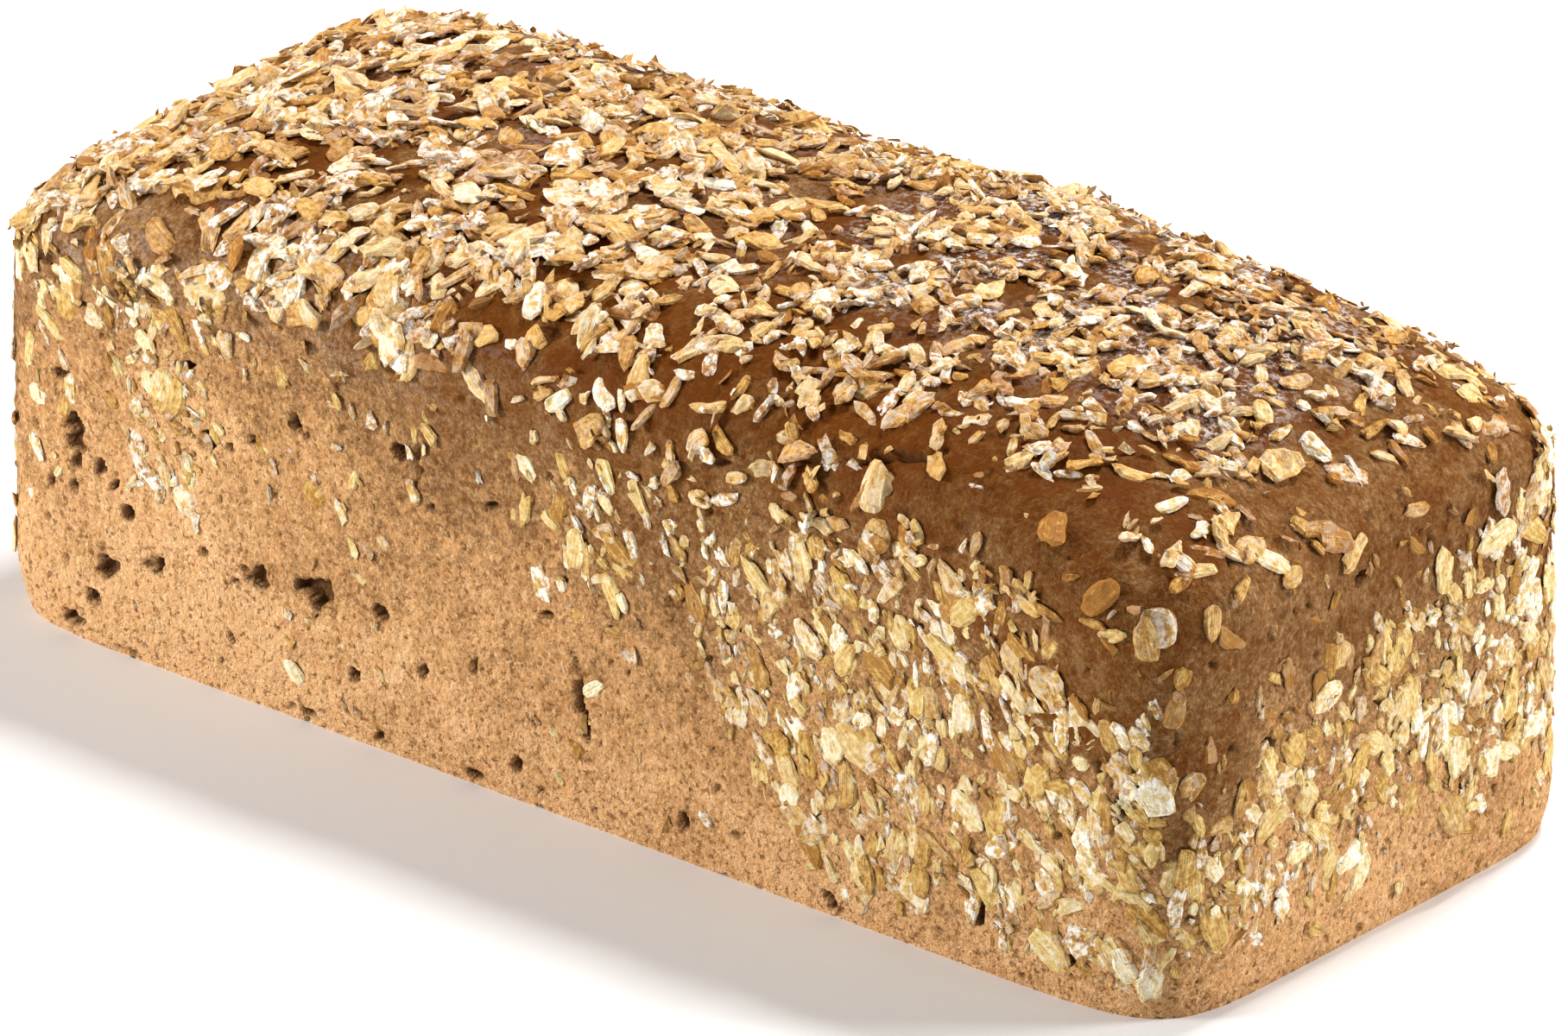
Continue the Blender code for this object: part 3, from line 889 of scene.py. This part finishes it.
def crown_flakes():
    """Flakes heaped on the crown: longest on its left half, and white where flour lies.

    They are laid low at its far side and its left end.
    """
    around, up = spread(SMALL_TRIES, cover=crown_cover, **CROWN_FLAKES)
    draw = np.random.default_rng(CROWN_FLAKES["seed"] + 1)
    count = len(around)
    point, _ = dough(around, up)
    far_side = np.maximum(fade(point[:, 1], 0.022, 0.038), 1 - fade(point[:, 0], -0.127, -0.110))
    heap = 0.0003 + heaped(point, HEAP_REACH, HEAP_RISE, HEAP_MOST)
    heap = heap * (1 - 0.8 * far_side) - 0.0004 * far_side
    left_half = 1 - fade(1000 * point[:, 0], -30, 30)
    stands = draw.random(count) < 0.06
    white = 0.9 * flour_dust(1000 * point) + fade(noise(1000 * point, 6, 32), 0.2, 0.7)
    return laid_on(
        around, up,
        length=draw.uniform(0.0038, 0.0070, count) + draw.uniform(0.0010, 0.0038, count) * left_half,
        slender=draw.uniform(0.34, 0.60, count),
        thick=draw.uniform(0.0008, 0.0014, count),
        lift=heap + draw.uniform(0, 0.0004, count),
        bend=np.ones(count),
        floury=np.clip(floury_share(draw, count, white=0.22) + white * draw.random(count), 0, 1),
        **loose_turns(draw, up, np.where(stands, 0.55, 0.27) * (1 - 0.6 * far_side)),
    )


def brown_and_shaded_place(places):
    """1 where a wall is so brown that few flakes show, and those get painted shade: a long wall's top right,
    an end's top left.
    """
    right, height, long_share = wall_places(places)
    corner = fade(right, 98, 110) * fade(height, 50, 59) * long_share
    end_top = 0.85 * fade(height - 0.45 * right, 44, 58) * (1 - long_share)
    return np.maximum(corner, end_top) * (1 - fade(height, 72, 80))


def wall_cover(places):
    """How thickly flakes lie on the walls: in clumps, where the solid flakes lie below the rim.

    A long wall also has a cluster and strewn flakes at its upper left, and a fuller band at its upper right.
    Few lie beside the cluster, in a row under the rim, at the left end's front edge and on brown crust.
    """
    right, height, long_share = wall_places(places)
    flush_row = fade(height, 56, 62) * fade(right, -78, -68) * (1 - fade(right, -10, 10))
    beside_cluster = fade(np.abs(right + 86), 4, 9) * (1 - fade(right, -70, -40)) * (1 - fade(height, 58, 64))
    left_rim = fade(-places[..., 0], 116, 124) * fade(-places[..., 1], 20, 35)
    few = 1 - 0.9 * brown_and_shaded_place(places) - 0.8 * left_rim
    few = few - long_share * (0.75 * flush_row + 0.9 * beside_cluster)
    filled = 0.45 * fade(right, 78, 90) * fade(height, 40, 50) * (1 - fade(height, 62, 74)) * long_share
    filled += 0.10 * fade(height - 0.22 * right, 48, 56) * (1 - fade(height, 76, 84)) * (1 - long_share)
    cover = (1.3 * flake_cover(places) * (1 - fade(height, 72, 80)) + filled) * np.clip(few, 0, 1)
    clumps = 0.36 + 0.68 * fade(noise(places, 6, 26), -0.45, 0.25)
    cluster = 0.7 * patch(right, height, *CLUSTER_HEART) * long_share
    strewn = 0.04 * fade(height, 30, 42) * (1 - fade(height, 60, 68)) * (1 - fade(right, -10, 10))
    return np.clip(cover * clumps + cluster + strewn * long_share + 0.006, 0, 1)


def wall_flakes():
    """Flakes pressed into the walls: thin, nearly flush, many small and a few large, floury in patches."""
    around, up = spread(SMALL_TRIES, cover=wall_cover, margin=0, **WALL_FLAKES)
    draw = np.random.default_rng(WALL_FLAKES["seed"] + 1)
    count = len(around)
    point, _ = dough(around, up)
    right, _, long_share = wall_places(1000 * point)
    large = np.where(long_share > 0.5, 0.8 * fade(right, 40, 80), 0.6)
    patches = fade(noise(1000 * point, 8, 31), 0.38, 0.68)
    return laid_on(
        around, up,
        length=0.0028 + 0.0060 * draw.random(count) ** (2 - large),
        slender=draw.uniform(0.34, 0.68, count),
        thick=draw.uniform(0.0006, 0.0010, count),
        lift=draw.uniform(-0.0002, 0.0002, count) + 0.0003 * (up > 1),
        bend=np.full(count, 0.35),
        floury=np.clip(floury_share(draw, count, white=0.13) + patches, 0, 1),
        **loose_turns(draw, up, 0.06),
    )


def merged(groups):
    """Several groups of laid flakes as one."""
    return {key: np.concatenate([laid[key] for laid in groups]) for key in groups[0]}


def chosen(laid, which):
    """The flakes of a group that an index picks."""
    return {key: values[which] for key, values in laid.items()}


# Golden brown to cream along one scale, of which each kind has its own span, then tints and flour
STRAW_BROWN = (0.38, 0.180, 0.042)
STRAW = (0.60, 0.375, 0.120)
STRAW_PALE = (0.74, 0.555, 0.245)
CREAM = (0.88, 0.80, 0.60)
TOASTED = (0.86, 0.72, 0.55)
PRESSED = (0.85, 0.82, 0.70)
FLOUR_CREAM = (0.88, 0.84, 0.75)


def flake_material(name, low, high):
    """Straw to cream by each flake's own tone, streaked along it, with bran at the rim and flour on top.

    The streaks' place is shifted by the tone, so that no two flakes have the same ones. Flakes on the crown
    are tinted as toasted, and those on the walls as pressed.
    """
    material, shader, start = new_material(name)
    own = start.node("ShaderNodeUVMap", {"uv_map": "flake"})
    stretched = start.node("ShaderNodeMapping", None, {"Vector": own, "Scale": (1.2, 6, 1)})
    shift = start.node("ShaderNodeCombineXYZ", None, {"X": start.painted("tone") * 97})
    streak_place = start.node("ShaderNodeVectorMath", {"operation": "ADD"}, {0: stretched, 1: shift})
    streaks = start.node("ShaderNodeTexNoise", None, {"Vector": streak_place, "Scale": 1.4, "Detail": 2.0})
    mottle = start.speckle(0.0011, 3, 0.7)
    tone = low + start.painted("tone") * (high - low)
    tone = tone + (streaks - 0.5) * 1.1 + (mottle - 0.5) * 1.8 - start.painted("bran") * 0.30
    stops = ((0.0, STRAW_BROWN), (0.33, STRAW), (0.66, STRAW_PALE), (1.0, CREAM))
    colour = start.node("ShaderNodeValToRGB", {"stops": stops}, {"Fac": tone})
    tint = start.painted("toasted").blend((*PRESSED, 1), (*TOASTED, 1))
    settings = {"data_type": "RGBA", "blend_type": "MULTIPLY"}
    colour = start.node("ShaderNodeMix", settings, {0: 1.0, 6: colour, 7: tint}, output=2)
    flour = start.speckle(0.0016, 3, 0.7).between(0.40, 0.60) * start.painted("floury")
    colour = (flour * 0.85).blend(colour, (*FLOUR_CREAM, 1))
    feed(colour, shader, "Base Color")
    feed(0.66 + flour * 0.2, shader, "Roughness")
    height = streaks * 0.4 + mottle * 0.6
    sockets = {"Strength": 0.9, "Distance": 0.0007, "Height": height}
    feed(start.node("ShaderNodeBump", None, sockets), shader, "Normal")
    shader.inputs["Specular IOR Level"].default_value = 0.08
    return material


all_flakes = merged([solid_flakes(), crown_flakes(), wall_flakes()])
KIND_SEED = 80
# Each kind of grain: its width as a share of the usual, its span of the colours, its grid, and how its
# outline waves, frays and narrows, where it splits, how deep its crease is and how much it curls
KINDS = {
    "wheat_flakes": {"slender": 0.92, "span": (0.16, 0.80), "grid": (6, 4), "uneven": 0.08, "frayed": 0.07,
                     "pinch": 0.22, "split": (0.45, 1.6), "crease": 0.20, "curl": 0.14},
    "oat_flakes": {"slender": 1.12, "span": (0.45, 1.10), "grid": (6, 4), "uneven": 0.06, "frayed": 0.06,
                   "pinch": 0.15, "split": (0.6, 1.9), "crease": 0.35, "curl": 0.17},
    "rye_flakes": {"slender": 0.84, "span": (0.06, 0.60), "grid": (6, 4), "uneven": 0.08, "frayed": 0.07,
                   "pinch": 0.25, "split": (0.4, 1.6), "crease": 0.30, "curl": 0.13},
    "barley_flakes": {"slender": 1.22, "span": (0.30, 0.95), "grid": (6, 4), "uneven": 0.09, "frayed": 0.08,
                      "pinch": 0.12, "split": (0.55, 1.8), "crease": 0.2, "curl": 0.18},
}
flake_pieces = []
for number, (name, kind) in enumerate(KINDS.items()):
    of_kind = chosen(all_flakes, np.arange(number, len(all_flakes["length"]), len(KINDS)))
    of_kind["width"] = of_kind["width"] * kind["slender"]
    piece = flake_mesh(name, of_kind, kind, seed=KIND_SEED + number)
    piece.data.materials.append(flake_material(f"{name}_finish", *kind["span"]))
    flake_pieces.append(piece)


# The bits: broken flakes and bran that came off the scoop with them, down to coarse crumbs.
# They fill the gaps between the flakes, as one mesh of the same pillows with fewer faces.
BIT_TRIES = 110000
BITS = {"count": 4300, "spacing": 0.0007, "seed": 91, "zone": (0.03, 1.996)}
BIT_SHAPE = {"span": (0.15, 1.0), "grid": (3, 2), "uneven": 0.15, "frayed": 0.25,
             "pinch": 0.4, "split": (0.3, 1.2), "crease": 0.0, "curl": 0.2}


def bit_cover(places):
    """Bits lie where the flakes do, and thinly beside them."""
    cover = np.maximum(0.5 * wall_cover(places), 0.6 * crown_cover(places))
    return np.clip(0.85 * cover + 0.02, 0, 1)


def flake_bits():
    """Bits laid at random: tipped and lifted on the crown, and nearly flush in the walls."""
    around, up = spread(BIT_TRIES, cover=bit_cover, margin=1, **BITS)
    draw = np.random.default_rng(BITS["seed"] + 1)
    count = len(around)
    on_crown = up > 1
    return laid_on(
        around, up,
        length=draw.uniform(0.0012, 0.0044, count),
        slender=draw.uniform(0.3, 0.8, count),
        thick=draw.uniform(0.0003, 0.0008, count),
        lift=np.where(on_crown, draw.uniform(0.0004, 0.0018, count), draw.uniform(-0.0001, 0.0003, count)),
        bend=np.ones(count),
        floury=floury_share(draw, count, white=0.13),
        **loose_turns(draw, up, np.where(on_crown, 0.4, 0.12)),
    )


bits = flake_mesh("flake_bits", flake_bits(), BIT_SHAPE, seed=BITS["seed"] + 2)
bits.data.materials.append(flake_material("flake_bits_finish", *BIT_SHAPE["span"]))
for piece in [*flake_pieces, bits]:
    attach(piece, "root")
    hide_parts("loaf")


# The studio: a plain pale floor under the loaf, and even white light all round it.
# Three soft square lamps face it, one at the front left, one at the back right and one above.
FLOOR_SIZE = 12.0
FLOOR_GREY = 0.86
LAMP_TARGET = (0, 0, 0.05)
# Each lamp: its name, place, width in metres and power in watts
LAMPS = (
    ("lamp_left", (-0.85, -1.05, 0.42), 0.34, 22),
    ("lamp_right", (1.00, 0.80, 0.45), 0.34, 16.5),
    ("lamp_above", (0.05, 0.50, 1.2), 0.28, 18),
)
ROOM_LIGHT = 0.26


def plain_floor():
    """A flat sheet, centred under the loaf."""
    ends = np.array([-FLOOR_SIZE / 2, FLOOR_SIZE / 2])
    x, y = np.meshgrid(ends, ends)
    mesh = grid_mesh("floor", np.stack([x, y, np.zeros_like(x)], axis=-1), closed=False)
    material, shader, _ = new_material("pale_floor")
    shader.inputs["Base Color"].default_value = (FLOOR_GREY, FLOOR_GREY, FLOOR_GREY, 1)
    shader.inputs["Roughness"].default_value = 0.9
    mesh.materials.append(material)
    return placed("floor", mesh)


def soft_lamp(name, place, size, power):
    """A square lamp that faces the loaf."""
    lamp = bpy.data.lights.new(name, "AREA")
    lamp.energy = power
    lamp.size = size
    lit = placed(name, lamp)
    lit.location = place
    lit.rotation_euler = (Vector(LAMP_TARGET) - Vector(place)).to_track_quat("-Z", "Y").to_euler()


plain_floor()
for lamp_values in LAMPS:
    soft_lamp(*lamp_values)
world = bpy.data.worlds.new("white_room")
world.use_nodes = True
background = world.node_tree.nodes["Background"]
background.inputs["Color"].default_value = (1, 1, 1, 1)
background.inputs["Strength"].default_value = ROOM_LIGHT
bpy.context.scene.world = world
bpy.context.scene.view_settings.view_transform = "Standard"
